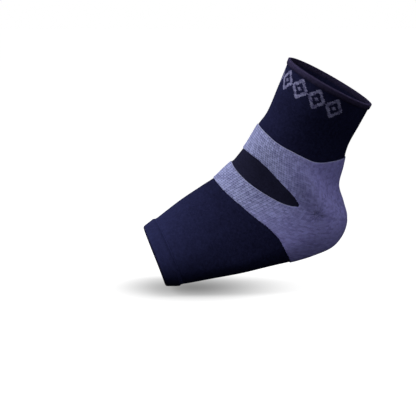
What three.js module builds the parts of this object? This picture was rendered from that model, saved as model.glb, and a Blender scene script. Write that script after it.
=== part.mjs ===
// Ankle support: a seamless knitted sleeve, open at cuff and toes, in the form it has on a left foot.
// Millimetres, Z up, X from the toes (-) to the heel (+), Y from the outer side (-) to the inner (+).
// The origin is the middle of the ankle joint. One skin is lofted through rounds of a foot and leg;
// every knitted piece is a wall laid on that skin between two borders.
import * as THREE from "three";

const LEG = 86; // up the middle of the leg, ankle joint to rim
const LEAN = 18.5; // degrees the leg leans back
const FOOT = 136; // down the middle of the foot, ankle joint to toe opening
const DROP = 28.6; // degrees the foot falls away
const CUFF_DEPTH = 75; // front to back at the rim
const CUFF_WIDTH = 68;
const ANKLE_WIDTH = 63;
const HEEL_DEPTH = 107; // instep to the point of the heel
const HEEL_WIDTH = 62;
const INSTEP_DEPTH = 77; // top of the foot to the sole, at the arch
const INSTEP_WIDTH = 70;
const TOE_DEPTH = 44;
const TOE_WIDTH = 86;
const BONE = 4; // how far the ankle bones stand out under the knit
const ARCH = 5; // how far the knit draws in under the arch

const TUBE_WALL = 1.5; // thin knit of leg and foot
const WRAP_WALL = 2.3; // firm knit of the bands and the heel
const CREASE_WALL = 1.7; // where the two halves of the heel are knitted together
const WINDOW_WALL = 1.5;
const CUFF_WALL = 2.4;
const TOE_WALL = 2.8;
const CUFF_WELT = 5.2; // length of the doubled edge at the rim
const TOE_WELT = 12.5; // and of the one at the toes
const GAP = 0.3; // left between one piece and the next
const TIP_SHARE = 13 / 24; // how far round to the side the window runs
const SIDE = 24; // steps from the front to the back, on each side

const NAVY = 0x1b1e3c;
const INK = 0x151730;
const LAVENDER = 0x6d70a0;

// Each round: rise up the leg, reach down the foot, slope and cant in degrees, depth, width, the
// share of the width outside and inside, where along the depth each side is widest, the share of
// the width by which the top ridge lies inward, and how square the front and the back of the round
// are (2 is an ellipse).
const ROUNDS = [
  [1.0, 0.0, 29, 7, 1.0 * CUFF_DEPTH, CUFF_WIDTH, 0.5, 0.5, 0.46, 0.46, 0, 2.0, 2.1],
  [0.78, 0.026, 26.5, 5, 0.965 * CUFF_DEPTH, CUFF_WIDTH, 0.455, 0.455, 0.45, 0.45, 0, 2.0, 2.0],
  [0.555, 0.053, 23.5, 2, 0.938 * CUFF_DEPTH, ANKLE_WIDTH, 0.455, 0.455, 0.44, 0.44, 0, 2.1, 1.85],
  [0.388, 0.065, 27, 0, 0.712 * HEEL_DEPTH, ANKLE_WIDTH, 0.47, 0.475, 0.44, 0.44, 0, 2.1, 1.75],
  [0.239, 0.066, 31, 0, 0.757 * HEEL_DEPTH, ANKLE_WIDTH, 0.49, 0.5, 0.46, 0.44, 0, 2.15, 1.8],
  [0.077, 0.028, 32.6, 0, 0.858 * HEEL_DEPTH, ANKLE_WIDTH, 0.495, 0.505, 0.5, 0.46, 0.015, 2.15, 2.0],
  [-0.062, 0.0, 33.9, 0, 0.95 * HEEL_DEPTH, HEEL_WIDTH, 0.495, 0.5, 0.56, 0.5, 0.03, 2.1, 2.2],
  [-0.161, 0.006, 37, 0, 0.995 * HEEL_DEPTH, HEEL_WIDTH, 0.485, 0.49, 0.64, 0.58, 0.05, 2.05, 2.4],
  [-0.22, 0.045, 41.1, 0, 0.995 * HEEL_DEPTH, HEEL_WIDTH, 0.49, 0.49, 0.68, 0.64, 0.065, 2.0, 2.6],
  [-0.217, 0.123, 46, 0, 0.945 * HEEL_DEPTH, HEEL_WIDTH, 0.505, 0.5, 0.72, 0.68, 0.08, 2.0, 2.8],
  [-0.203, 0.21, 50.2, 0, 0.882 * HEEL_DEPTH, HEEL_WIDTH, 0.53, 0.515, 0.75, 0.68, 0.095, 2.0, 3.0],
  [-0.179, 0.328, 54.5, 0, 1.1 * INSTEP_DEPTH, INSTEP_WIDTH, 0.5, 0.48, 0.78, 0.66, 0.1, 2.0, 3.2],
  [-0.136, 0.471, 59, 0, 0.996 * INSTEP_DEPTH, INSTEP_WIDTH, 0.53, 0.5, 0.8, 0.62, 0.115, 2.0, 3.3],
  [-0.079, 0.68, 65, -1, 0.853 * INSTEP_DEPTH, TOE_WIDTH, 0.47, 0.46, 0.78, 0.6, 0.105, 2.1, 3.2],
  [-0.046, 0.877, 68.2, -3, 1.22 * TOE_DEPTH, TOE_WIDTH, 0.48, 0.49, 0.75, 0.6, 0.115, 2.2, 3.0],
  [-0.01, 1.0, 68.5, -4, 1.0 * TOE_DEPTH, TOE_WIDTH, 0.485, 0.515, 0.74, 0.62, 0.125, 2.2, 3.0],
];

// What shows through the knit: round, place around, height, and how many rounds and how much of
// the way around it spreads.
const RELIEF = [
  [5.6, -0.5, 0.9 * BONE, 1.5, 0.16], // outer ankle bone
  [4.8, 0.46, 1.0 * BONE, 1.5, 0.16], // inner ankle bone
  [5.0, -0.8, -0.75 * BONE, 1.8, 0.11], // hollow behind the outer bone
  [4.8, 0.78, -0.75 * BONE, 1.8, 0.11], // hollow behind the inner bone
  [7.6, -0.36, -0.25 * BONE, 1.5, 0.12], // dip before the outer bone
  [6.0, 0.04, 0.15 * BONE, 2.5, 0.09], // tendon over the front
  [11.8, 0.8, -1.0 * ARCH, 1.6, 0.1], // arch of the sole
  [12.0, -0.7, 0.4 * ARCH, 0.9, 0.08], // outer edge of the foot
];

// Borders of the firm knit, by share of the way from front to back: top of the upper band, top and
// bottom of the window (past its tip, the two sides of the heel's crease), foot of the lower band.
const BORDERS = [
  [0.0, 3.0, 5.88, 8.55, 11.05],
  [0.12, 3.12, 5.8, 8.83, 10.97],
  [0.22, 3.3, 5.84, 8.8, 10.83],
  [0.32, 3.48, 6.08, 8.5, 10.6],
  [0.4, 3.52, 6.36, 8.17, 10.42],
  [0.46, 3.5, 6.57, 7.88, 10.28],
  [0.51, 3.5, 6.83, 7.53, 10.15],
  [TIP_SHARE, 3.49, 7.08, 7.24, 10.07],
  [0.62, 3.44, 6.92, 7.08, 10.0],
  [0.72, 3.2, 6.63, 6.78, 10.15],
  [0.8, 2.95, 6.4, 6.54, 10.28],
  [0.88, 2.72, 6.15, 6.28, 10.34],
  [1.0, 2.5, 5.88, 6.0, 10.4],
];

const LAST = ROUNDS.length - 1;
const radians = THREE.MathUtils.degToRad;
const paths = ROUNDS.map((row) => [tracePath(row, -1), tracePath(row, 1)]);

// One side of a round, front to back, with the distance run to each point.
function tracePath(row, side) {
  const [rise, reach, slope, cant, depth, width, outer, inner, outerFull, innerFull] = row;
  const [ridge, front, back] = row.slice(10);
  const reachOut = width * (side < 0 ? outer : inner);
  const full = side < 0 ? outerFull : innerFull;
  const across = new THREE.Vector3(Math.cos(radians(slope)), 0, -Math.sin(radians(slope)));
  const onward = new THREE.Vector3(-Math.sin(radians(slope)), 0, -Math.cos(radians(slope)));
  const centre = new THREE.Vector3(
    rise * LEG * Math.sin(radians(LEAN)) - reach * FOOT * Math.cos(radians(DROP)),
    0,
    rise * LEG * Math.cos(radians(LEAN)) - reach * FOOT * Math.sin(radians(DROP)),
  );
  const points = [];
  const steps = 80;
  for (let i = 0; i <= 2 * steps; i += 1) {
    const beyond = i > steps;
    const angle = ((beyond ? i - steps : i) / steps) * (Math.PI / 2);
    const near = Math.max(0, Math.cos(angle)) ** (2 / (beyond ? back : front));
    const far = Math.sin(angle) ** (2 / (beyond ? back : front));
    const along = beyond ? full + (1 - full) * far : full * (1 - near);
    const shift = (ridge * width * (1 + Math.cos(Math.PI * Math.min(1, along / full)))) / 2;
    const y = side * reachOut * (beyond ? near : far) + shift;
    const point = centre.clone().addScaledVector(across, (along - 0.5) * depth);
    point.addScaledVector(onward, -y * Math.tan(radians(cant)));
    point.y = y;
    points.push(point);
  }
  const run = [0];
  for (let i = 1; i < points.length; i += 1) {
    run.push(run[i - 1] + points[i].distanceTo(points[i - 1]));
  }
  return { points, run };
}

function pointOnRound(index, around) {
  const { points, run } = paths[index][around < 0 ? 0 : 1];
  const wanted = Math.abs(around) * run[run.length - 1];
  let i = 1;
  while (i < run.length - 1 && run[i] < wanted) {
    i += 1;
  }
  const share = (wanted - run[i - 1]) / (run[i] - run[i - 1]);
  return points[i - 1].clone().lerp(points[i], share);
}

// The skin under the knit, smooth from round to round, before the bones are raised on it.
function smoothSkin(course, around) {
  const side = around > 1 ? around - 2 : around < -1 ? around + 2 : around;
  const i = THREE.MathUtils.clamp(Math.floor(course), 0, LAST - 1);
  const f = course - i;
  const p1 = pointOnRound(i, side);
  const p2 = pointOnRound(i + 1, side);
  const p0 = i > 0 ? pointOnRound(i - 1, side) : p1.clone().multiplyScalar(2).sub(p2);
  const p3 = i < LAST - 1 ? pointOnRound(i + 2, side) : p2.clone().multiplyScalar(2).sub(p1);
  const point = p0.multiplyScalar(-f + 2 * f * f - f * f * f);
  point.addScaledVector(p1, 2 - 5 * f * f + 3 * f * f * f);
  point.addScaledVector(p2, f + 4 * f * f - 3 * f * f * f);
  point.addScaledVector(p3, f * f * f - f * f);
  return point.multiplyScalar(0.5);
}

function outward(surface, course, around) {
  const down = surface(course + 0.02, around).sub(surface(course - 0.02, around));
  const round = surface(course, around + 0.004).sub(surface(course, around - 0.004));
  return round.cross(down).normalize();
}

function skin(course, around) {
  let height = 0;
  for (const [round, place, rise, rounds, share] of RELIEF) {
    const offRound = (course - round) / rounds;
    const turn = Math.abs(around - place);
    const offPlace = Math.min(turn, 2 - turn) / share;
    height += rise * Math.exp(-offRound * offRound - offPlace * offPlace);
  }
  const point = smoothSkin(course, around);
  return point.addScaledVector(outward(smoothSkin, course, around), height);
}

// A length in millimetres down the sleeve, as a share of a round.
function courses(length, course, around) {
  const step = skin(course + 0.05, around).distanceTo(skin(course - 0.05, around));
  return (0.1 * length) / step;
}

// A border's round at a place around the sleeve, smooth through the table.
function border(column, around) {
  const place = Math.min(1, Math.abs(around));
  let i = 1;
  while (i < BORDERS.length - 1 && BORDERS[i][0] < place) {
    i += 1;
  }
  const slopeAt = (k) => {
    const before = BORDERS[Math.max(0, k - 1)];
    const after = BORDERS[Math.min(BORDERS.length - 1, k + 1)];
    return k === 0 ? 0 : (after[column] - before[column]) / (after[0] - before[0]);
  };
  const from = BORDERS[i - 1];
  const to = BORDERS[i];
  const span = to[0] - from[0];
  const f = (place - from[0]) / span;
  const ease = f * f * (3 - 2 * f);
  const bend = slopeAt(i - 1) * f * (1 - f) ** 2 - slopeAt(i) * f * f * (1 - f);
  return from[column] * (1 - ease) + to[column] * ease + span * bend;
}

const wrapTop = (around) => border(1, around);
const windowTop = (around) => border(2, around);
const windowFoot = (around) => border(3, around);
const wrapFoot = (around) => border(4, around);
const cuffFoot = (around) => courses(CUFF_WELT, 0.1, around);
const toeTop = (around) => LAST - courses(TOE_WELT, LAST - 0.3, around);

// Places around the sleeve, back to back by way of the outer side, closer together at the
// window's tips.
function placesAround() {
  const places = [];
  for (let i = -SIDE; i < SIDE; i += 1) {
    places.push(i / SIDE);
  }
  for (const extra of [0.18, 0.45]) {
    places.push(-TIP_SHARE + extra / SIDE, TIP_SHARE - extra / SIDE);
  }
  return places.sort((a, b) => a - b);
}

// Rows from one border to another, each set back by half the gap where another piece begins.
function rowsBetween(from, to, steps, wall, setBackTop, setBackFoot) {
  const rows = [];
  for (let i = 0; i <= steps; i += 1) {
    rows.push((around) => {
      const top = from(around) + setBackTop * courses(GAP / 2, from(around), around);
      const foot = to(around) - setBackFoot * courses(GAP / 2, to(around), around);
      return [top + ((foot - top) * i) / steps, 0, wall];
    });
  }
  return rows;
}

// A knitted wall: rows give course, height of the inner face and height of the outer face.
function knit(name, colour, places, rows, closed, holds) {
  const columns = places.length;
  const positions = [];
  const faces = [];
  for (const row of rows) {
    for (const around of places) {
      const [course, low, high] = row(around);
      const foot = skin(course, around);
      const normal = outward(skin, course, around);
      const inner = foot.clone().addScaledVector(normal, low);
      const outer = foot.clone().addScaledVector(normal, high);
      positions.push(inner.x, inner.y, inner.z, outer.x, outer.y, outer.z);
    }
  }
  const at = (i, j, layer) => 2 * (i * columns + (j % columns)) + layer;
  const quad = (a, b, c, d) => faces.push(a, b, c, a, c, d);
  const cells = closed ? columns : columns - 1;
  const filled = (i, j) => {
    const k = closed ? (j + cells) % cells : j;
    return i >= 0 && i < rows.length - 1 && k >= 0 && k < cells && holds(i, k);
  };
  for (let i = 0; i < rows.length - 1; i += 1) {
    for (let j = 0; j < cells; j += 1) {
      if (!filled(i, j)) {
        continue;
      }
      quad(at(i, j, 1), at(i, j + 1, 1), at(i + 1, j + 1, 1), at(i + 1, j, 1));
      quad(at(i, j, 0), at(i + 1, j, 0), at(i + 1, j + 1, 0), at(i, j + 1, 0));
      if (!filled(i - 1, j)) {
        quad(at(i, j, 0), at(i, j + 1, 0), at(i, j + 1, 1), at(i, j, 1));
      }
      if (!filled(i + 1, j)) {
        quad(at(i + 1, j, 1), at(i + 1, j + 1, 1), at(i + 1, j + 1, 0), at(i + 1, j, 0));
      }
      if (!filled(i, j - 1)) {
        quad(at(i, j, 1), at(i + 1, j, 1), at(i + 1, j, 0), at(i, j, 0));
      }
      if (!filled(i, j + 1)) {
        quad(at(i, j + 1, 0), at(i + 1, j + 1, 0), at(i + 1, j + 1, 1), at(i, j + 1, 1));
      }
    }
  }
  return solid(name, colour, positions, faces);
}

// Keeps only the points the faces use.
function solid(name, colour, positions, faces) {
  const used = [...new Set(faces)].sort((a, b) => a - b);
  const renumbered = new Map(used.map((old, index) => [old, index]));
  const kept = used.flatMap((old) => positions.slice(3 * old, 3 * old + 3));
  const geometry = new THREE.BufferGeometry();
  geometry.setAttribute("position", new THREE.Float32BufferAttribute(kept, 3));
  geometry.setIndex(faces.map((old) => renumbered.get(old)));
  geometry.computeVertexNormals();
  const mesh = new THREE.Mesh(geometry, new THREE.MeshStandardMaterial({ color: colour, roughness: 0.9 }));
  mesh.name = name;
  return mesh;
}

const everywhere = () => true;

// The doubled edge at the rim, its lip rolled over inside and out. The profile gives the share of
// its length, and the inner and outer face as shares of its wall.
function cuffWelt() {
  const profile = [
    [0.0, 0.23, 0.73],
    [0.12, 0.04, 0.92],
    [0.35, 0.0, 1.0],
    [1.0, 0.0, 0.92],
  ];
  const rows = profile.map(([share, low, high]) => (around) => {
    const foot = cuffFoot(around) - courses(GAP / 2, cuffFoot(around), around);
    return [share * foot, low * CUFF_WALL, high * CUFF_WALL];
  });
  return knit("cuff_welt", INK, placesAround(), rows, true, everywhere);
}

function ankleTube() {
  const rows = rowsBetween(cuffFoot, wrapTop, 11, TUBE_WALL, 1, 1);
  return knit("ankle_tube", NAVY, placesAround(), rows, true, everywhere);
}

// Upper band, lower band and heel are one piece of firm knit, open over the front of the ankle.
function supportWrap() {
  const places = placesAround();
  const upperRows = 6;
  const upper = rowsBetween(wrapTop, windowTop, upperRows, WRAP_WALL, 1, 0);
  const lower = rowsBetween(windowFoot, wrapFoot, 7, WRAP_WALL, 0, 1);
  const creased = (row) => (around) => {
    const [course, low, high] = row(around);
    return [course, low, Math.abs(around) > TIP_SHARE + 0.01 ? CREASE_WALL : high];
  };
  const rows = [...upper.slice(0, -1), creased(upper.at(-1)), creased(lower[0]), ...lower.slice(1)];
  const beyondTip = (j) => Math.abs((places[j] + (places[j + 1] ?? 1)) / 2) > TIP_SHARE;
  const holds = (i, j) => i !== upperRows || beyondTip(j);
  return knit("support_wrap", LAVENDER, places, rows, true, holds);
}

// The thin navy lens over the front of the ankle, its long tips running back below the ankle bones.
function instepWindow() {
  const places = placesAround().filter((around) => Math.abs(around) < TIP_SHARE - 0.001);
  const halfWay = 1.2 * HEEL_DEPTH; // from front to back round the heel
  const ends = TIP_SHARE - GAP / halfWay;
  const rows = rowsBetween(windowTop, windowFoot, 5, WINDOW_WALL, 2, 2);
  return knit("instep_window", INK, [-ends, ...places, ends], rows, false, everywhere);
}

function footTube() {
  const rows = rowsBetween(wrapFoot, toeTop, 12, TUBE_WALL, 1, 1);
  return knit("foot_tube", NAVY, placesAround(), rows, true, everywhere);
}

function toeWelt() {
  const profile = [
    [0.0, 0.0, 0.86],
    [0.12, 0.0, 1.0],
    [0.8, 0.0, 1.0],
    [0.94, 0.04, 0.9],
    [1.0, 0.21, 0.68],
  ];
  const rows = profile.map(([share, low, high]) => (around) => {
    const top = toeTop(around) + courses(GAP / 2, toeTop(around), around);
    return [top + share * (LAST - top), low * TOE_WALL, high * TOE_WALL];
  });
  return knit("toe_welt", NAVY, placesAround(), rows, true, everywhere);
}

const sleeve = new THREE.Group();
sleeve.name = "ankle_support";
sleeve.add(cuffWelt(), ankleTube(), supportWrap(), instepWindow(), footTube(), toeWelt());

export default sleeve;
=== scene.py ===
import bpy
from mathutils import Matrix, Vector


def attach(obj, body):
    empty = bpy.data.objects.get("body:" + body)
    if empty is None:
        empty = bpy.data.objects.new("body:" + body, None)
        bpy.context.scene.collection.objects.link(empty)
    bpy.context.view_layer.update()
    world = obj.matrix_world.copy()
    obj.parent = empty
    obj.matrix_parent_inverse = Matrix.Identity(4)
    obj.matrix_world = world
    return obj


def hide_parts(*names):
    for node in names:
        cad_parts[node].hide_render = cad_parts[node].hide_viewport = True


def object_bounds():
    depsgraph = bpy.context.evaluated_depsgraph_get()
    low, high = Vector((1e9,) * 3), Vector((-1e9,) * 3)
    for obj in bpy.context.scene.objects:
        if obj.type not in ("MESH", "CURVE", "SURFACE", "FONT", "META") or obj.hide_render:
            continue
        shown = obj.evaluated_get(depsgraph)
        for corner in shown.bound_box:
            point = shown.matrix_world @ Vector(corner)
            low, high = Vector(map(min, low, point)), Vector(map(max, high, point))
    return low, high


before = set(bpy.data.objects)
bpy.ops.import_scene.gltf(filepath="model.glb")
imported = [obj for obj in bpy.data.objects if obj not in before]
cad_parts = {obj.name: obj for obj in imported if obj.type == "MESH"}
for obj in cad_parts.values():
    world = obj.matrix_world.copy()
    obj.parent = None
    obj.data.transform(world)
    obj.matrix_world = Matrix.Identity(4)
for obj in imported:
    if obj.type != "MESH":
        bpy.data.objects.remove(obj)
cad_box = [list(corner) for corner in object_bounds()]

import math

import bpy
import numpy as np
from mathutils import Vector

# Cuff welt: the rim, where the knitting begins. Nylon and elastane yarn is knitted in the round on
# 216 needles, and the first rounds are turned in on themselves and linked. So the rim is doubled,
# with a soft rolled lip, and its elastic shows through as a warmer tone.
MM = 0.001
FORM_LENGTH = 191.85 * MM
FIT = (cad_box[1][0] - cad_box[0][0]) / FORM_LENGTH
LEG, LEAN = 86 * MM * FIT, 18.5
FOOT, DROP = 136 * MM * FIT, 28.6
CUFF_DEPTH, CUFF_WIDTH = 75 * MM * FIT, 68 * MM * FIT
ANKLE_WIDTH = 63 * MM * FIT
HEEL_DEPTH, HEEL_WIDTH = 107 * MM * FIT, 62 * MM * FIT
INSTEP_DEPTH, INSTEP_WIDTH = 77 * MM * FIT, 70 * MM * FIT
TOE_DEPTH, TOE_WIDTH = 44 * MM * FIT, 86 * MM * FIT
BONE, ARCH = 4 * MM * FIT, 5 * MM * FIT

# The form that the knit takes, in sixteen rounds from the cuff down to the toe end. A place on
# the sleeve is a round and a share of the way from the front (0) to the back, by the outer side
# (-1) or the inner side (1). Each row: rise, reach, slope, cant, depth, width, outer and inner
# share of it, where each side is widest, how far in the top ridge lies, how square front and back
# are.
ROUNDS = [
    (1.0, 0.0, 29, 7, 1.0 * CUFF_DEPTH, CUFF_WIDTH, 0.5, 0.5, 0.46, 0.46, 0, 2.0, 2.1),
    (0.78, 0.026, 26.5, 5, 0.965 * CUFF_DEPTH, CUFF_WIDTH, 0.455, 0.455, 0.45, 0.45, 0, 2.0, 2.0),
    (0.555, 0.053, 23.5, 2, 0.938 * CUFF_DEPTH, ANKLE_WIDTH, 0.455, 0.455, 0.44, 0.44, 0, 2.1, 1.85),
    (0.388, 0.065, 27, 0, 0.712 * HEEL_DEPTH, ANKLE_WIDTH, 0.47, 0.475, 0.44, 0.44, 0, 2.1, 1.75),
    (0.239, 0.066, 31, 0, 0.757 * HEEL_DEPTH, ANKLE_WIDTH, 0.49, 0.5, 0.46, 0.44, 0, 2.15, 1.8),
    (0.077, 0.028, 32.6, 0, 0.858 * HEEL_DEPTH, ANKLE_WIDTH, 0.495, 0.505, 0.5, 0.46, 0.015, 2.15, 2.0),
    (-0.062, 0.0, 33.9, 0, 0.95 * HEEL_DEPTH, HEEL_WIDTH, 0.495, 0.5, 0.56, 0.5, 0.03, 2.1, 2.2),
    (-0.161, 0.006, 37, 0, 0.995 * HEEL_DEPTH, HEEL_WIDTH, 0.485, 0.49, 0.64, 0.58, 0.05, 2.05, 2.4),
    (-0.22, 0.045, 41.1, 0, 0.995 * HEEL_DEPTH, HEEL_WIDTH, 0.49, 0.49, 0.68, 0.64, 0.065, 2.0, 2.6),
    (-0.217, 0.123, 46, 0, 0.945 * HEEL_DEPTH, HEEL_WIDTH, 0.505, 0.5, 0.72, 0.68, 0.08, 2.0, 2.8),
    (-0.203, 0.21, 50.2, 0, 0.882 * HEEL_DEPTH, HEEL_WIDTH, 0.53, 0.515, 0.75, 0.68, 0.095, 2.0, 3.0),
    (-0.179, 0.328, 54.5, 0, 1.1 * INSTEP_DEPTH, INSTEP_WIDTH, 0.5, 0.48, 0.78, 0.66, 0.1, 2.0, 3.2),
    (-0.136, 0.471, 59, 0, 0.996 * INSTEP_DEPTH, INSTEP_WIDTH, 0.53, 0.5, 0.8, 0.62, 0.115, 2.0, 3.3),
    (-0.079, 0.68, 65, -1, 0.853 * INSTEP_DEPTH, TOE_WIDTH, 0.47, 0.46, 0.78, 0.6, 0.105, 2.1, 3.2),
    (-0.046, 0.877, 68.2, -3, 1.22 * TOE_DEPTH, TOE_WIDTH, 0.48, 0.49, 0.75, 0.6, 0.115, 2.2, 3.0),
    (-0.01, 1.0, 68.5, -4, 1.0 * TOE_DEPTH, TOE_WIDTH, 0.485, 0.515, 0.74, 0.62, 0.125, 2.2, 3.0),
]
LAST = len(ROUNDS) - 1
TRACED = 240

# Its relief: round, place around, height, spread in rounds and around. In order: the outer and the
# inner bulge at the ankle, the hollow behind each, the dip before the outer one, the ridge down the
# front, the arch and the bulge of the outer edge.
RELIEF = [
    (5.6, -0.5, 0.9 * BONE, 1.5, 0.16),
    (4.8, 0.46, 1.0 * BONE, 1.5, 0.16),
    (5.0, -0.8, -0.75 * BONE, 1.8, 0.11),
    (4.8, 0.78, -0.75 * BONE, 1.8, 0.11),
    (7.6, -0.36, -0.25 * BONE, 1.5, 0.12),
    (6.0, 0.04, 0.15 * BONE, 2.5, 0.09),
    (11.8, 0.8, -1.0 * ARCH, 1.6, 0.1),
    (12.0, -0.7, 0.4 * ARCH, 0.9, 0.08),
]


def trace(row, side):
    """One side of a round from front to back: the way run so far, and the points."""
    rise, reach, slope, cant, depth, width, outer, inner, outer_full, inner_full = row[:10]
    ridge, front, back = row[10:]
    half_width = width * (outer if side < 0 else inner)
    full = outer_full if side < 0 else inner_full
    slope, lean, drop = math.radians(slope), math.radians(LEAN), math.radians(DROP)
    across = np.array([math.cos(slope), 0, -math.sin(slope)])
    onward = np.array([-math.sin(slope), 0, -math.cos(slope)])
    centre = rise * LEG * np.array([math.sin(lean), 0, math.cos(lean)])
    centre = centre - reach * FOOT * np.array([math.cos(drop), 0, math.sin(drop)])
    angle = np.linspace(0, math.pi / 2, TRACED)
    to_widest = full * (1 - np.cos(angle) ** (2 / front)), np.sin(angle) ** (2 / front)
    to_back = full + (1 - full) * np.sin(angle) ** (2 / back), np.cos(angle) ** (2 / back)
    along = np.concatenate([to_widest[0], to_back[0][1:]])
    out = np.concatenate([to_widest[1], to_back[1][1:]])
    inward = ridge * width * (1 + np.cos(math.pi * np.minimum(1, along / full))) / 2
    y = side * half_width * out + inward
    points = centre + np.outer((along - 0.5) * depth, across)
    points = points - np.outer(y * math.tan(math.radians(cant)), onward)
    points[:, 1] = y
    run = np.concatenate([[0], np.cumsum(np.linalg.norm(np.diff(points, axis=0), axis=1))])
    return run / run[-1], points


PATHS = [(trace(row, -1), trace(row, 1)) for row in ROUNDS]


def bare_form(course, around):
    """Points on the form before its relief, for rows of courses over places around."""
    place = (around + 1) % 2 - 1
    knots = np.empty((LAST + 3, len(place), 3))
    for index, sides in enumerate(PATHS):
        for side, (share, points) in zip((-1, 1), sides):
            chosen = place < 0 if side < 0 else place >= 0
            for axis in range(3):
                at = np.interp(np.abs(place[chosen]), share, points[:, axis])
                knots[index + 1, chosen, axis] = at
    knots[0] = 2 * knots[1] - knots[2]
    knots[-1] = 2 * knots[-2] - knots[-3]
    first = np.clip(np.floor(course).astype(int), 0, LAST - 1)
    f = (course - first)[..., None]
    column = np.arange(len(place))[None, :]
    p0, p1, p2, p3 = (knots[first + step, column] for step in range(4))
    bend = (2 * p0 - 5 * p1 + 4 * p2 - p3) * f**2
    return 0.5 * (2 * p1 + (p2 - p0) * f + bend + (3 * p1 - p0 - 3 * p2 + p3) * f**3)


def outward(surface, course, around):
    """The way that a surface faces, away from the hollow."""
    step, turn = 0.02, 0.004
    down = surface(course + step, around) - surface(course - step, around)
    across = surface(course, around + turn) - surface(course, around - turn)
    normal = np.cross(across, down)
    return normal / np.linalg.norm(normal, axis=-1, keepdims=True)


def form(course, around):
    height = np.zeros(course.shape)
    for centre, place, rise, rounds, share in RELIEF:
        turn = np.abs((around - place + 1) % 2 - 1)
        height += rise * np.exp(-(((course - centre) / rounds) ** 2) - (turn / share) ** 2)
    return bare_form(course, around) + height[..., None] * outward(bare_form, course, around)


def rounds_per_metre(course, around):
    """How many rounds there are to a metre down the sleeve, at each place."""
    step = 0.05
    span = form(course + step, around) - form(course - step, around)
    return 2 * step / np.linalg.norm(span, axis=-1)


# Rows of stitches between two borders become a wall on the form, rounded where it ends. The map
# called knit counts needles across and courses down, so that the stitches follow the cloth.
NEEDLES = 216
COURSE = 0.9 * MM
COLUMNS = 2 * NEEDLES
AROUND = np.arange(COLUMNS) * 2 / COLUMNS - 1
LIP = 0.9 * MM


def rows_between(top, foot, spacing, around, lip=LIP):
    """Courses of the rows between two borders, and how far each lies from the nearer border.
    Rows lie closer together at the borders, where the wall is rounded off."""
    near = np.array([0, 0.08, 0.25, 0.55, 1.0]) * lip
    per_top, per_foot = (rounds_per_metre(edge, around) for edge in (top, foot))
    length = np.linalg.norm(form(foot, around) - form(top, around), axis=-1).max()
    steps = max(3, round(float(length) / spacing))
    start, end = top + near[-1] * per_top, foot - near[-1] * per_foot
    middle = start + (end - start) * np.linspace(0, 1, steps + 1)[:, None]
    upper = top + near[:-1, None] * per_top
    lower = foot - near[:-1, None][::-1] * per_foot
    courses = np.concatenate([upper, middle, lower])
    off = np.concatenate([near[:-1], np.full(steps + 1, lip), near[:-1][::-1]])
    return courses, np.repeat(off[:, None], courses.shape[1], axis=1)


def wall(thickness, off, lip=LIP):
    """Heights of the inner and the outer face, rounded towards the borders."""
    share = np.clip(off / lip, 0, 1)
    curve = np.sqrt(1 - (1 - share) ** 2)
    return 0.25 * thickness * (1 - curve) ** 2, thickness * (0.5 + 0.5 * curve)


def lay(name, courses, around, low, high, from_foot=False, closed=True, holds=None, fields=()):
    """The mesh of a knitted wall. holds says which cells exist, and fields are values that the
    cloth's look reads, to which the face that is seen (1) or worn inwards (0) is added."""
    rows, columns = courses.shape
    base, normal = form(courses, around), outward(form, courses, around)
    outer = base + high[..., None] * normal
    inner = base + low[..., None] * normal
    run = np.linalg.norm(np.diff(outer, axis=0), axis=-1)
    down = np.concatenate([np.zeros((1, columns)), np.cumsum(run, axis=0)]) / COURSE
    if from_foot:
        down = down - down[-1]
    cells = columns if closed else columns - 1
    filled = np.ones((rows - 1, cells), bool) if holds is None else holds
    i, j = np.nonzero(filled)
    k = (j + 1) % columns

    def at(row, column, layer):
        return layer * rows * columns + row * columns + column

    quads = [
        np.stack([at(i, j, 0), at(i, k, 0), at(i + 1, k, 0), at(i + 1, j, 0)], 1),
        np.stack([at(i, j, 1), at(i + 1, j, 1), at(i + 1, k, 1), at(i, k, 1)], 1),
    ]
    needle = (np.append(around, around[0] + 2) if closed else around) * NEEDLES / 2
    corners = {"a": (i, j), "b": (i, j + 1), "c": (i + 1, j + 1), "d": (i + 1, j)}
    count = {
        key: np.stack([needle[column], down[row, column % columns]], 1)
        for key, (row, column) in corners.items()
    }
    maps = [np.stack([count[key] for key in order], 1) for order in ("abcd", "adcb")]
    for step_i, step_j, ends in ((-1, 0, "ab"), (1, 0, "cd"), (0, -1, "da"), (0, 1, "bc")):
        beside_i, beside_j = i + step_i, j + step_j
        if closed:
            beside_j = beside_j % columns
        there = (beside_i >= 0) & (beside_i < rows - 1) & (beside_j >= 0) & (beside_j < cells)
        bare = ~there
        bare[there] = ~filled[beside_i[there], beside_j[there]]
        (row_p, col_p), (row_q, col_q) = (
            (corners[key][0][bare], corners[key][1][bare] % columns) for key in ends
        )
        rim = [at(row_q, col_q, 0), at(row_p, col_p, 0), at(row_p, col_p, 1), at(row_q, col_q, 1)]
        quads.append(np.stack(rim, 1))
        p, q = count[ends[0]][bare], count[ends[1]][bare]
        maps.append(np.stack([q, p, p, q], 1))
    quads, maps = np.concatenate(quads), np.concatenate(maps)
    used, renumbered = np.unique(quads, return_inverse=True)
    points = np.concatenate([outer.reshape(-1, 3), inner.reshape(-1, 3)])[used]
    mesh = bpy.data.meshes.new(name)
    mesh.from_pydata(points.tolist(), [], renumbered.reshape(quads.shape).tolist())
    mesh.uv_layers.new(name="knit").data.foreach_set("uv", maps.astype(np.float32).ravel())
    values = {"seen": np.repeat([1.0, 0.0], rows * columns)}
    for field, numbers in dict(fields).items():
        values[field] = np.tile(np.broadcast_to(numbers, courses.shape).ravel(), 2)
    for field, numbers in values.items():
        stored = mesh.attributes.new(field, "FLOAT", "POINT")
        stored.data.foreach_set("value", numbers[used].astype(np.float32))
    mesh.shade_smooth()
    piece = bpy.data.objects.new(name, mesh)
    bpy.context.scene.collection.objects.link(piece)
    return piece


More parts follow.
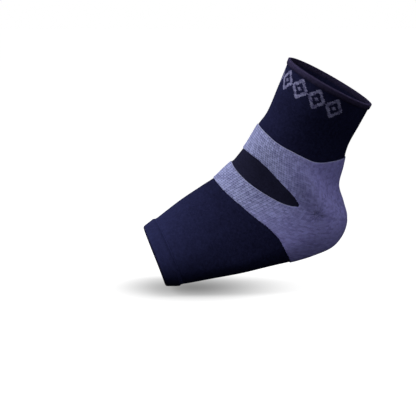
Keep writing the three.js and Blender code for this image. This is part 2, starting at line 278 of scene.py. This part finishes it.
class Socket:
    """A socket of a node tree that works in sums, with the tree that it belongs to."""

    def __init__(self, tree, socket=None):
        self.tree = tree
        self.socket = socket

    def node(self, kind, settings=None, inputs=None, output=0):
        made = self.tree.nodes.new(kind)
        for setting, value in (settings or {}).items():
            setattr(made, setting, value)
        for name, value in (inputs or {}).items():
            if isinstance(value, Socket):
                self.tree.links.new(value.socket, made.inputs[name])
            elif isinstance(value, list):
                for each in value:
                    self.tree.links.new(each.socket, made.inputs[name])
            else:
                made.inputs[name].default_value = value
        return Socket(self.tree, made.outputs[output] if made.outputs else None)

    def sum_of(self, operation, *values):
        return self.node("ShaderNodeMath", {"operation": operation}, dict(enumerate(values)))

    def __add__(self, other):
        return self.sum_of("ADD", self, other)

    def __sub__(self, other):
        return self.sum_of("SUBTRACT", self, other)

    def __rsub__(self, other):
        return self.sum_of("SUBTRACT", other, self)

    def __mul__(self, other):
        return self.sum_of("MULTIPLY", self, other)

    def __pow__(self, other):
        return self.sum_of("POWER", self, other)

    def __abs__(self):
        return self.sum_of("ABSOLUTE", self)

    def __gt__(self, other):
        return self.sum_of("GREATER_THAN", self, other)

    __radd__ = __add__
    __rmul__ = __mul__

    def fraction(self):
        return self.sum_of("FRACT", self)

    def whole(self):
        return self.sum_of("FLOOR", self)

    def clamped(self):
        return self.sum_of("MINIMUM", self.sum_of("MAXIMUM", self, 0.0), 1.0)

    def eased(self, start, end):
        settings = {"interpolation_type": "SMOOTHSTEP"}
        inputs = {"Value": self, "From Min": start, "From Max": end}
        return self.node("ShaderNodeMapRange", settings, inputs)

    def tinted(self, dark, light):
        """A colour between two, by this value."""
        inputs = {"Factor": self, 6: dark, 7: light}
        return self.node("ShaderNodeMix", {"data_type": "RGBA"}, inputs, output=2)


def linear(red, green, blue):
    """A colour as the eye names it, 0 to 255, as the light that it stands for."""
    shares = [c / 255 for c in (red, green, blue)]
    return tuple(s / 12.92 if s < 0.04 else ((s + 0.055) / 1.055) ** 2.4 for s in shares) + (1.0,)


class Knit:
    """The look of a knitted cloth: the legs of its loops, their height and their heather."""

    def __init__(self, name):
        self.material = bpy.data.materials.new(name)
        self.material.use_nodes = True
        tree = self.material.node_tree
        tree.nodes.clear()
        self.start = Socket(tree)
        count = self.start.node("ShaderNodeUVMap", {"uv_map": "knit"})
        self.needle = self.start.node("ShaderNodeSeparateXYZ", {}, {0: count}, output=0)
        self.course = self.start.node("ShaderNodeSeparateXYZ", {}, {0: count}, output=1)
        self.place = self.start.node("ShaderNodeTexCoord", output=3)
        from_middle = abs(self.needle.fraction() - 0.5) * 2
        self.leg = self.course + 0.5 * from_middle
        along = self.leg.fraction() * 2 - 1
        self.height = (1 - along * along) * 0.55 + (1 - from_middle**4) * 0.35 + from_middle * 0.1

    def field(self, name):
        return self.start.node("ShaderNodeAttribute", {"attribute_name": name}, output=2)

    def chance(self, needles, courses):
        """A number from 0 to 1 for each patch of so many needles and courses."""
        across, down = (self.needle * (1 / needles)).whole(), (self.leg * (1 / courses)).whole()
        cell = self.start.node("ShaderNodeCombineXYZ", {}, {0: across, 1: down})
        settings = {"noise_dimensions": "2D"}
        return self.start.node("ShaderNodeTexWhiteNoise", settings, {"Vector": cell})

    def cloud(self, size):
        inputs = {"Vector": self.place, "Scale": 1 / size, "Detail": 2.0}
        return self.start.node("ShaderNodeTexNoise", {}, inputs)

    def finish(self, colour, depth, gloss):
        relief = {"Strength": 1.0, "Distance": depth, "Height": self.height}
        bump = self.start.node("ShaderNodeBump", {}, relief)
        inputs = {"Base Color": colour, "Roughness": 0.9, "Normal": bump, "Specular IOR Level": gloss}
        shader = self.start.node("ShaderNodeBsdfPrincipled", {}, inputs)
        self.start.node("ShaderNodeOutputMaterial", {}, {"Surface": shader})
        return self.material


CUFF_WALL, CUFF_WELT = 2.4 * MM * FIT, 5.2 * MM * FIT
CUFF_LIP, CUFF_ROW = 1.2 * MM, 0.55 * MM
RIM_IN, RIM_SINK = 0.7 * MM, 0.1 * MM
NEAR_RIM = 0.1
CUFF_DARK, CUFF_LIGHT = linear(18, 17, 40), linear(76, 69, 104)

rim = np.zeros((1, COLUMNS))
cuff_foot = CUFF_WELT * rounds_per_metre(rim + NEAR_RIM, AROUND)
courses, off = rows_between(rim, cuff_foot, CUFF_ROW, AROUND, lip=CUFF_LIP)
low, high = wall(CUFF_WALL, off, lip=CUFF_LIP)
from_rim = courses / cuff_foot
cuff = lay("cuff_welt_knit", courses, AROUND, low, high, fields={"warmth": 1 - from_rim})
# In each yarn, fleck is the share of its light tone, by stitch and by patch; raising it on the
# loops' crowns paints shade into the hollows between them.
look = Knit("cuff_welt_yarn")
fleck = look.chance(1, 1) * 0.2 + look.cloud(9 * MM) * 0.15 + look.height * 0.15
fleck = fleck + look.field("warmth") * 0.5 - 0.12
warm = fleck.clamped().tinted(CUFF_DARK, CUFF_LIGHT)
cuff.data.materials.append(look.finish(warm, depth=0.25 * MM, gloss=0.08))

# Along the rim, the top of the upper band, the window's lower border over the front and the toe
# welt's link runs one round of larger loops, where stitches are cast on, picked up or linked. Each
# loop shows as two legs side by side, leaning towards each other.
LOOPS = (np.arange(NEEDLES) + 0.5) * 2 / NEEDLES - 1
LOOP_LENGTH, LOOP_THICKNESS, LOOP_SLANT = 1.1 * MM, 0.5 * MM, 0.35


def loop_tree(name, yarn):
    """Nodes that set a loop on each point of a round, lying along it and facing outwards."""
    tree = bpy.data.node_groups.new(name, "GeometryNodeTree")
    tree.interface.new_socket("Round", in_out="INPUT", socket_type="NodeSocketGeometry")
    for size in ("Width", "Length", "Thickness", "Slant"):
        tree.interface.new_socket(size, in_out="INPUT", socket_type="NodeSocketFloat")
    tree.interface.new_socket("Loops", in_out="OUTPUT", socket_type="NodeSocketGeometry")
    given = tree.nodes.new("NodeGroupInput")
    points, width, length, thickness, slant = (Socket(tree, given.outputs[n]) for n in range(5))
    start = Socket(tree)
    ball = start.node("GeometryNodeMeshIcoSphere", {}, {"Radius": 0.5, "Subdivisions": 1})
    scale = start.node("ShaderNodeCombineXYZ", {}, {0: thickness, 1: length, 2: thickness})
    legs = []
    for side in (-1, 1):
        shift = start.node("ShaderNodeCombineXYZ", {}, {0: width * (0.25 * side)})
        turn = start.node("ShaderNodeCombineXYZ", {}, {2: slant * side})
        placed = {"Geometry": ball, "Translation": shift, "Rotation": turn, "Scale": scale}
        legs.append(start.node("GeometryNodeTransform", {}, placed))
    loop = start.node("GeometryNodeJoinGeometry", {}, {"Geometry": legs})
    vector = {"data_type": "FLOAT_VECTOR"}
    facing = start.node("GeometryNodeInputNamedAttribute", vector, {"Name": "facing"})
    along = start.node("GeometryNodeInputNamedAttribute", vector, {"Name": "along"})
    axes = {"primary_axis": "Z", "secondary_axis": "X"}
    turned = {"Primary Axis": facing, "Secondary Axis": along}
    turn = start.node("FunctionNodeAxesToRotation", axes, turned)
    dots = start.node("GeometryNodeMeshToPoints", {}, {"Mesh": points})
    held = {"Points": dots, "Instance": loop, "Rotation": turn}
    placed = start.node("GeometryNodeInstanceOnPoints", {}, held)
    real = start.node("GeometryNodeRealizeInstances", {}, {"Geometry": placed})
    smooth = start.node("GeometryNodeSetShadeSmooth", {}, {"Geometry": real})
    dyed = start.node("GeometryNodeSetMaterial", {}, {"Geometry": smooth, "Material": yarn})
    start.node("NodeGroupOutput", {}, {0: dyed})
    return tree


def round_of_loops(
    name, courses, around, lift, colour, length=LOOP_LENGTH, thickness=LOOP_THICKNESS
):
    """One loop for each needle along a border, at a height over the form."""
    facing = outward(form, courses, around)[0]
    points = form(courses, around)[0] + lift * facing
    closed = len(around) == NEEDLES
    ahead = np.roll(points, -1, axis=0) if closed else np.gradient(points, axis=0) + points
    behind = np.roll(points, 1, axis=0) if closed else points
    along = ahead - behind
    mesh = bpy.data.meshes.new(name)
    mesh.from_pydata(points.tolist(), [], [])
    for field, vectors in (("facing", facing), ("along", along)):
        stored = mesh.attributes.new(field, "FLOAT_VECTOR", "POINT")
        stored.data.foreach_set("vector", vectors.astype(np.float32).ravel())
    piece = bpy.data.objects.new(name, mesh)
    bpy.context.scene.collection.objects.link(piece)
    yarn = bpy.data.materials.new(name + "_yarn")
    yarn.use_nodes = True
    yarn.node_tree.nodes.clear()
    start = Socket(yarn.node_tree)
    inputs = {"Base Color": colour, "Roughness": 0.9, "Specular IOR Level": 0.08}
    shader = start.node("ShaderNodeBsdfPrincipled", {}, inputs)
    start.node("ShaderNodeOutputMaterial", {}, {"Surface": shader})
    tree = loop_tree(name + "_nodes", yarn)
    modifier = piece.modifiers.new("loops", "NODES")
    modifier.node_group = tree
    spread = np.linalg.norm(np.diff(points, axis=0), axis=1).mean()
    sizes = {"Width": spread, "Length": length, "Thickness": thickness, "Slant": LOOP_SLANT}
    for item in tree.interface.items_tree:
        if item.name in sizes:
            modifier[item.identifier] = float(sizes[item.name])
    finished = piece.evaluated_get(bpy.context.evaluated_depsgraph_get())
    loops = bpy.data.meshes.new_from_object(finished)
    piece.modifiers.clear()
    piece.data = loops
    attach(piece, "root")
    return piece


rim_course = RIM_IN * rounds_per_metre(np.full((1, NEEDLES), NEAR_RIM / 2), LOOPS)
rim_lift = wall(CUFF_WALL, RIM_IN, lip=CUFF_LIP)[1] - RIM_SINK
rim_loops = round_of_loops("rim_loops", rim_course, LOOPS, rim_lift, CUFF_LIGHT)
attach(cuff, "root")
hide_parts("cuff_welt")

# Leg tube: thin navy knit from the welt down to the firm band, with a row of open lozenges knitted
# into its front below the rim in a light yarn, which doesn't show on the inner face. Where two
# knits meet, the thinner one runs on under the edge of the thicker one by the length of a join.
TUBE_WALL, JOIN, LEG_ROW = 1.5 * MM * FIT, 0.6 * MM, 1.0 * MM
NAVY_DARK, NAVY_LIGHT = linear(15, 15, 39), linear(54, 58, 104)
MOTIF_DARK, MOTIF_LIGHT = linear(62, 58, 100), linear(166, 166, 206)
LOZENGES, LOZENGE_NEEDLES = 9, 16
MOTIF_MIDDLE, MOTIF_HALF = 11.5, 10
RING_FROM, RING_TO, DOT_TO = 0.6, 1.02, 0.22

# Borders of the firm knit, by share of the way from front to back: top of the upper band, top and
# bottom of the window (past its tip, the two sides of the heel's crease), foot of the lower band.
# A column of stitches within a hair of the tip counts as past it.
TIP, HAIR = 13 / 24, 0.001
BORDERS = np.array([
    (0.0, 3.0, 5.88, 8.55, 11.05),
    (0.12, 3.12, 5.8, 8.83, 10.97),
    (0.22, 3.3, 5.84, 8.8, 10.83),
    (0.32, 3.48, 6.08, 8.5, 10.6),
    (0.4, 3.52, 6.36, 8.17, 10.42),
    (0.46, 3.5, 6.57, 7.88, 10.28),
    (0.51, 3.5, 6.83, 7.53, 10.15),
    (TIP, 3.49, 7.08, 7.24, 10.07),
    (0.62, 3.44, 6.92, 7.08, 10.0),
    (0.72, 3.2, 6.63, 6.78, 10.15),
    (0.8, 2.95, 6.4, 6.54, 10.28),
    (0.88, 2.72, 6.15, 6.28, 10.34),
    (1.0, 2.5, 5.88, 6.0, 10.4),
])


def border(column, around, stepped=True):
    """A border's round at each place, smooth through the table or in steps of whole stitches."""
    if stepped:
        around = (np.floor(around * NEEDLES / 2) + 0.5) * 2 / NEEDLES
    shares, values = BORDERS[:, 0], BORDERS[:, column]
    slopes = np.gradient(values, shares)
    slopes[0] = 0
    place = np.minimum(1, np.abs((around + 1) % 2 - 1))
    i = np.clip(np.searchsorted(shares, place), 1, len(shares) - 1)
    span = shares[i] - shares[i - 1]
    f = (place - shares[i - 1]) / span
    ease = f * f * (3 - 2 * f)
    bend = slopes[i - 1] * f * (1 - f) ** 2 - slopes[i] * f * f * (1 - f)
    smooth = (values[i - 1] * (1 - ease) + values[i] * ease + span * bend)[None, :]
    if not stepped:
        return smooth
    stitch = 0.5 * COURSE * rounds_per_metre(smooth, around)
    return np.round(smooth / stitch) * stitch


top = cuff_foot - JOIN * rounds_per_metre(cuff_foot, AROUND)
foot = border(1, AROUND, stepped=False)
foot = foot + JOIN * rounds_per_metre(foot, AROUND)
courses, off = rows_between(top, foot, LEG_ROW, AROUND)
low, high = wall(TUBE_WALL, off)
# Painted sheen: the navy is painted lighter down the front of the leg.
pale = {"pale": 0.25 * np.clip(1 - 3 * np.abs(AROUND), 0, 1)}
leg = lay("leg_knit", courses, AROUND, low, high, fields=pale)


def navy_cloth(name):
    """Navy knit with its faint heather, painted lighter as painted sheen where its field says so."""
    look = Knit(name)
    fleck = look.chance(1, 1) * 0.14 + look.chance(2, 2) * 0.1 + look.cloud(14 * MM) * 0.12
    # Raising fleck with the loops' height paints shade into the hollows between them.
    fleck = fleck + look.height * 0.14 + look.field("pale") * 0.3 - 0.07
    return look, fleck


look, fleck = navy_cloth("leg_yarn")
across = ((look.needle.whole() + 0.5) * (1 / LOZENGE_NEEDLES) + 0.5).fraction()
from_middle = abs(across - 0.5) * 2
reach = from_middle + abs(look.course.whole() + 0.5 - MOTIF_MIDDLE) * (1 / MOTIF_HALF)
ring = (reach > RING_FROM) * (1 - (reach > RING_TO)) + (1 - (reach > DOT_TO))
within = 1 - (abs(look.needle) > LOZENGES * LOZENGE_NEEDLES / 2)
shown = ring * within * look.height.eased(0.2, 0.55) * (look.field("seen") > 0.5)
navy = fleck.clamped().tinted(NAVY_DARK, NAVY_LIGHT)
light_yarn = (look.chance(1, 1) * 0.4 + look.chance(2, 2) * 0.6).tinted(MOTIF_DARK, MOTIF_LIGHT)
motif = shown.tinted(navy, light_yarn)
leg.data.materials.append(look.finish(motif, depth=0.25 * MM, gloss=0.05))
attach(leg, "root")
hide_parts("ankle_tube")

# Support: upper band, lower band and heel are one piece of firm lavender knit, thicker than the
# navy and open over the front of the ankle. The heel is turned in short rows, which draw in to a
# small gather behind each tip of the opening and leave a crease from there to the back.
WRAP_WALL, WRAP_ROW = 2.3 * MM * FIT, 1.15 * MM
HALF_GIRTH = 1.2 * HEEL_DEPTH
GATHER_SHARE, GATHER_DEPTH, GATHER_REACH = 0.66, 0.35 * MM, 2.0 * MM
FOLDS, FOLD_HEIGHT, FOLD_REACH = 15, 0.16 * MM, 7.5 * MM
CREASE_DEPTH, CREASE_HALF, CREASE_START = 0.25 * MM, 1.3 * MM, 0.08
GATHER_SHADE, DRAWN_SHADE, DRAWN_REACH = 0.12, 1.1, 5 * MM
CREASE_SHADE, CREASE_REACH, CREASE_LEFT = 0.3, 14 * MM, 0.07
BORDER_IN, BORDER_SINK = 0.45 * MM, 0.12 * MM
# Painted light: the heel's colours are set lighter than the bands', for light that falls off towards
# the back.
HEEL_DARK_PAINTED_LIGHTER, HEEL_LIGHT_PAINTED_LIGHTER = linear(112, 108, 190), linear(182, 179, 255)
BAND_DARK, BAND_LIGHT = linear(72, 71, 128), linear(178, 184, 230)
FOLD_SHADE, BORDER_YARN = linear(62, 58, 104), linear(190, 194, 228)

# An upper and a lower half are laid as one wall. Past the tips they meet and aren't rounded off
# there, and between the tips the row of cells that would join them is left out.
top, foot = border(1, AROUND, stepped=False), border(4, AROUND)
beyond = np.abs(AROUND) > TIP - HAIR
crease_top, crease_foot = border(2, AROUND, stepped=False), border(3, AROUND, stepped=False)
middle_top = np.where(beyond, crease_top, border(2, AROUND))
upper, upper_off = rows_between(top, middle_top, WRAP_ROW, AROUND)
lower, lower_off = rows_between(crease_foot, foot, WRAP_ROW, AROUND)
courses, off = np.concatenate([upper, lower]), np.concatenate([upper_off, lower_off])
from_row, to_row = len(upper) // 2, len(upper) + len(lower) // 2
off[from_row:to_row] = np.where(beyond, LIP, off[from_row:to_row])
low, high = wall(WRAP_WALL, off)
over_window = np.abs(AROUND + 1 / COLUMNS) < TIP
cloth = np.ones((len(courses) - 1, COLUMNS), bool)
cloth[len(upper) - 1] = ~over_window

# Each place's distance below the crease and past the gather gives the folds and the crease, as
# heights on the outer face and as the shade that lies in them.
crease = (crease_top + crease_foot) / 2
below = (courses - crease) / rounds_per_metre(crease, AROUND)
past = (np.abs(AROUND) - GATHER_SHARE) * HALF_GIRTH
far = np.hypot(below, past)
turn = np.arctan2(below, past)
started = np.clip((np.abs(AROUND) - TIP) / CREASE_START, 0, 1)
fading = np.exp(-((far / FOLD_REACH) ** 2)) * np.clip(far / GATHER_REACH, 0, 1)
folds = np.cos(FOLDS * turn) * fading
gather = np.exp(-((far / GATHER_REACH) ** 2))
line = np.exp(-((below / CREASE_HALF) ** 2)) * started
high = high + FOLD_HEIGHT * folds * started
high = high - GATHER_DEPTH * gather - CREASE_DEPTH * line * (1 - gather)
drawn = np.clip(-folds, 0, 1) * np.exp(-far / DRAWN_REACH) * (1 - gather)
creased = line * (CREASE_SHADE * np.exp(-np.abs(past) / CREASE_REACH) + CREASE_LEFT)
shade = started * (GATHER_SHADE * gather + DRAWN_SHADE * drawn + creased)
fields = {"shade": shade, "front": 1 - np.abs(AROUND)}
wrap = lay("support_knit", courses, AROUND, low, high, holds=cloth, fields=fields)

# The bands over the front are a finer mesh, whose holes are painted darker, as painted shade in
# them. The heel is closed cloth.
MESH = 2
look = Knit("support_yarn")
front = look.field("front").eased(0.25, 0.75)
mesh_row = abs((look.course * (1 / MESH)).fraction() - 0.5) * 2
mesh_wale = abs((look.needle * (1 / MESH)).fraction() - 0.5) * 2
holes = (mesh_row * mesh_wale).eased(0.15, 0.5)
heather = look.chance(1, 1) * 0.25 + look.chance(2, 2) * 0.45 + look.cloud(4 * MM) * 0.2
# Raising fleck with the loops' height paints shade into the hollows between them.
fleck = heather + look.height * 0.3 - holes * front * 0.45 + front * 0.1
# Blending by front paints the heel lighter than the bands, as painted light.
dark, light = front.tinted(HEEL_DARK_PAINTED_LIGHTER, BAND_DARK), front.tinted(HEEL_LIGHT_PAINTED_LIGHTER, BAND_LIGHT)
lavender = look.field("shade").tinted(fleck.clamped().tinted(dark, light), FOLD_SHADE)
wrap.data.materials.append(look.finish(lavender, depth=0.3 * MM, gloss=0.12))

lift = wall(WRAP_WALL, BORDER_IN)[1] - BORDER_SINK
upper_border = border(1, LOOPS, stepped=False)
upper_border = upper_border + BORDER_IN * rounds_per_metre(upper_border, LOOPS)
upper_loops = round_of_loops(
    "upper_border_loops", upper_border, LOOPS, lift, BORDER_YARN
)
front_loops = LOOPS[np.abs(LOOPS) < TIP - 0.01]
window_border = border(3, front_loops, stepped=False)
window_border = window_border + BORDER_IN * rounds_per_metre(window_border, front_loops)
window_loops = round_of_loops(
    "window_border_loops", window_border, front_loops, lift, BORDER_YARN
)
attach(wrap, "root")
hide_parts("support_wrap")

# Window: a thin dark lens over the front of the ankle, where the sleeve bends. It is knitted
# together with the bands along both edges and runs back to a tip on each side.
WINDOW_WALL = 1.5 * MM * FIT
WINDOW_LIP, WINDOW_ROW = 0.3 * MM, 1.0 * MM
WINDOW_DARK, WINDOW_LIGHT = linear(20, 20, 38), linear(41, 41, 66)

over = AROUND[np.abs(AROUND) < TIP - HAIR]
top, foot = border(2, over), border(3, over, stepped=False)
join = JOIN * rounds_per_metre(top, over)
courses, off = rows_between(top - join, foot + join, WINDOW_ROW, over, lip=WINDOW_LIP)
low, high = wall(WINDOW_WALL, off, lip=WINDOW_LIP)
window = lay("window_knit", courses, over, low, high, closed=False)

look = Knit("window_yarn")
# Raising fleck with the loops' height paints shade into the hollows between them.
fleck = look.chance(1, 1) * 0.35 + look.cloud(10 * MM) * 0.3 + look.height * 0.4 - 0.1
ink = fleck.clamped().tinted(WINDOW_DARK, WINDOW_LIGHT)
window.data.materials.append(look.finish(ink, depth=0.2 * MM, gloss=0.05))
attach(window, "root")
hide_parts("instep_window")

# Foot tube: thin navy knit from the lower band to the toe welt, the same cloth as the leg tube. It
# is narrowed under the arch, and painted paler along its top towards the toe end, as painted sheen.
TOE_WELT, FOOT_ROW = 12.5 * MM * FIT, 1.1 * MM
NEAR_END = 0.3
PAINTED_SHEEN_FROM, PAINTED_SHEEN_TO = 11.5, 14.0
top = border(4, AROUND)
top = top - JOIN * rounds_per_metre(top, AROUND)
toe_top = LAST - TOE_WELT * rounds_per_metre(rim + LAST - NEAR_END, AROUND)
toe_join = toe_top + JOIN * rounds_per_metre(toe_top, AROUND)
courses, off = rows_between(top, toe_join, FOOT_ROW, AROUND)
low, high = wall(TUBE_WALL, off)
# Painted sheen: the navy is painted lighter along the top of the foot towards the toe end.
share = np.clip((courses - PAINTED_SHEEN_FROM) / (PAINTED_SHEEN_TO - PAINTED_SHEEN_FROM), 0, 1)
pale = {"pale": share * (1.15 - np.abs(AROUND))}
foot_cloth = lay("foot_knit", courses, AROUND, low, high, from_foot=True, fields=pale)

look, fleck = navy_cloth("foot_yarn")
navy = fleck.clamped().tinted(NAVY_DARK, NAVY_LIGHT)
foot_cloth.data.materials.append(look.finish(navy, depth=0.25 * MM, gloss=0.05))
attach(foot_cloth, "root")
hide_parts("foot_tube")

# Toe welt: the last rounds, turned in on themselves and linked to the tube in one line of loops.
# It swells from the linking until it stands proud of the tube, and is folded at the toe opening.
TOE_WALL, TOE_LIP, SWELL, TOE_ROW = 2.8 * MM * FIT, 2.4 * MM, 2.2 * MM, 0.7 * MM
LINK_OUT, LINK_LIFT = 0.2 * MM, 0.05 * MM
courses, off = rows_between(toe_top, rim + LAST, TOE_ROW, AROUND, lip=TOE_LIP)
low, high = wall(TOE_WALL, off, lip=TOE_LIP)
past_link = (courses - toe_top) / rounds_per_metre(toe_top, AROUND)
swollen = np.clip(past_link / SWELL, 0, 1)
swollen = TUBE_WALL + (TOE_WALL - TUBE_WALL) * swollen**2 * (3 - 2 * swollen)
upper_half = np.arange(len(courses))[:, None] < len(courses) / 2
low, high = np.where(upper_half, 0, low), np.where(upper_half, swollen, high)
# Painted sheen: the toe welt's navy is painted lighter along its top.
fields = {"fold": np.where(upper_half, 0, 1 - off / TOE_LIP), "pale": 1.25 - np.abs(AROUND)}
toe = lay("toe_welt_knit", courses, AROUND, low, high, from_foot=True, fields=fields)

look, fleck = navy_cloth("toe_welt_yarn")
# Painted shade: the navy is painted darker on the rounded fold at the toe opening.
navy = (fleck - look.field("fold") * 0.6).clamped().tinted(NAVY_DARK, NAVY_LIGHT)
toe.data.materials.append(look.finish(navy, depth=0.3 * MM, gloss=0.05))
link_course = toe_top[:, ::2] - LINK_OUT * rounds_per_metre(toe_top[:, ::2], AROUND[::2])
link_loops = round_of_loops(
    "toe_linking_loops", link_course, AROUND[::2], TUBE_WALL + LINK_LIFT, NAVY_LIGHT,
    length=0.9 * MM, thickness=0.45 * MM,
)
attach(toe, "root")
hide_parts("toe_welt")

# Floor, light and camera: a white, glowing floor just below the sleeve, with a painted shadow under
# its low end where the glow fades to grey, soft lights from the left, the right and above, and the
# camera at the sleeve's outer side, a little above it. The floor and the backdrop throw no light on
# the cloth.
FLOOR_DROP, FLOOR_REACH = 4 * MM, 30.0
FLOOR_LEVEL = cad_box[0][2] - FLOOR_DROP
FLOOR_GREY, PAINTED_SHADOW_REACH, PAINTED_SHADOW_IN = (0.25, 0.25, 0.25, 1), 0.1, 42 * MM
PLAIN_WHITE = (1, 1, 1, 1)
FILL_COLOUR, FILL_STRENGTH = (0.8, 0.8, 1, 1), 0.025
corners = [(-1, -1), (1, -1), (1, 1), (-1, 1)]
floor_mesh = bpy.data.meshes.new("floor")
reached = [(x * FLOOR_REACH, y * FLOOR_REACH, FLOOR_LEVEL) for x, y in corners]
floor_mesh.from_pydata(reached, [], [(0, 1, 2, 3)])
floor = bpy.data.objects.new("floor", floor_mesh)
bpy.context.scene.collection.objects.link(floor)
white = bpy.data.materials.new("floor_white")
white.use_nodes = True
white.node_tree.nodes.clear()
paper = Socket(white.node_tree)
spot = paper.node("ShaderNodeTexCoord", output=3)
below_end = (cad_box[0][0] + PAINTED_SHADOW_IN, 0, FLOOR_LEVEL)
away = paper.node("ShaderNodeVectorMath", {"operation": "SUBTRACT"}, {0: spot, 1: below_end})
away = paper.node("ShaderNodeVectorMath", {"operation": "LENGTH"}, {0: away}, output=1)
# Painted shadow: the floor's glow fades from white to grey towards a point under the low end.
glow_with_painted_shadow = away.eased(0, PAINTED_SHADOW_REACH).tinted(FLOOR_GREY, PLAIN_WHITE)
lit = {"Base Color": FLOOR_GREY, "Roughness": 1.0, "Emission Color": glow_with_painted_shadow}
shader = paper.node("ShaderNodeBsdfPrincipled", {}, lit | {"Emission Strength": 1.0})
paper.node("ShaderNodeOutputMaterial", {}, {"Surface": shader})
floor_mesh.materials.append(white)
floor.visible_diffuse = False
floor.visible_glossy = False

# The camera sees a white backdrop, and the cloth gets only a faint fill from around.
world = bpy.data.worlds.new("studio")
bpy.context.scene.world = world
world.use_nodes = True
world.node_tree.nodes.clear()
sky = Socket(world.node_tree)
seen = sky.node("ShaderNodeLightPath", output=0)
fill = sky.node("ShaderNodeBackground", {}, {"Color": FILL_COLOUR, "Strength": FILL_STRENGTH})
backdrop = sky.node("ShaderNodeBackground", {}, {"Color": PLAIN_WHITE, "Strength": 1.0})
around_us = sky.node("ShaderNodeMixShader", {}, {0: seen, 1: fill, 2: backdrop})
sky.node("ShaderNodeOutputWorld", {}, {"Surface": around_us})


def soft_light(name, towards, distance, size, power):
    """A square soft light in the direction given, aimed at the middle of the ankle."""
    direction = Vector(towards).normalized()
    lamp = bpy.data.lights.new(name, "AREA")
    lamp.size, lamp.energy = size, power
    holder = bpy.data.objects.new(name, lamp)
    holder.location = direction * distance
    holder.rotation_euler = direction.to_track_quat("Z", "Y").to_euler()
    bpy.context.scene.collection.objects.link(holder)


soft_light("left", towards=(-1.0, -0.15, 0.35), distance=0.75, size=0.45, power=3.8)
soft_light("right", towards=(0.8, -0.7, 0.1), distance=1.1, size=0.9, power=2.5)
soft_light("above", towards=(0.0, -0.15, 1.0), distance=1.0, size=0.6, power=5.0)

PICTURE = 416
ANKLE_PIXEL = (297, 178)
METRES_PER_PIXEL = 0.84 * MM * FIT
VIEW_DISTANCE, VIEW_ELEVATION = 1.3, math.radians(7)
SENSOR, NEAREST, FARTHEST = 36, 0.05, 60
camera_data = bpy.data.cameras.new("camera")
camera = bpy.data.objects.new("camera", camera_data)
bpy.context.scene.collection.objects.link(camera)
bpy.context.scene.camera = camera
bpy.context.scene.view_settings.view_transform = "Standard"
camera_data.sensor_width = SENSOR
camera_data.lens = SENSOR * VIEW_DISTANCE / METRES_PER_PIXEL / PICTURE
camera_data.clip_start, camera_data.clip_end = NEAREST, FARTHEST
right_of_ankle = (PICTURE / 2 - ANKLE_PIXEL[0]) * METRES_PER_PIXEL
above_ankle = (ANKLE_PIXEL[1] - PICTURE / 2) * METRES_PER_PIXEL
up = Vector((0, math.sin(VIEW_ELEVATION), math.cos(VIEW_ELEVATION)))
back = Vector((0, -math.cos(VIEW_ELEVATION), math.sin(VIEW_ELEVATION)))
camera.location = Vector((right_of_ankle, 0, 0)) + above_ankle * up + VIEW_DISTANCE * back
camera.rotation_euler = (math.pi / 2 - VIEW_ELEVATION, 0, 0)
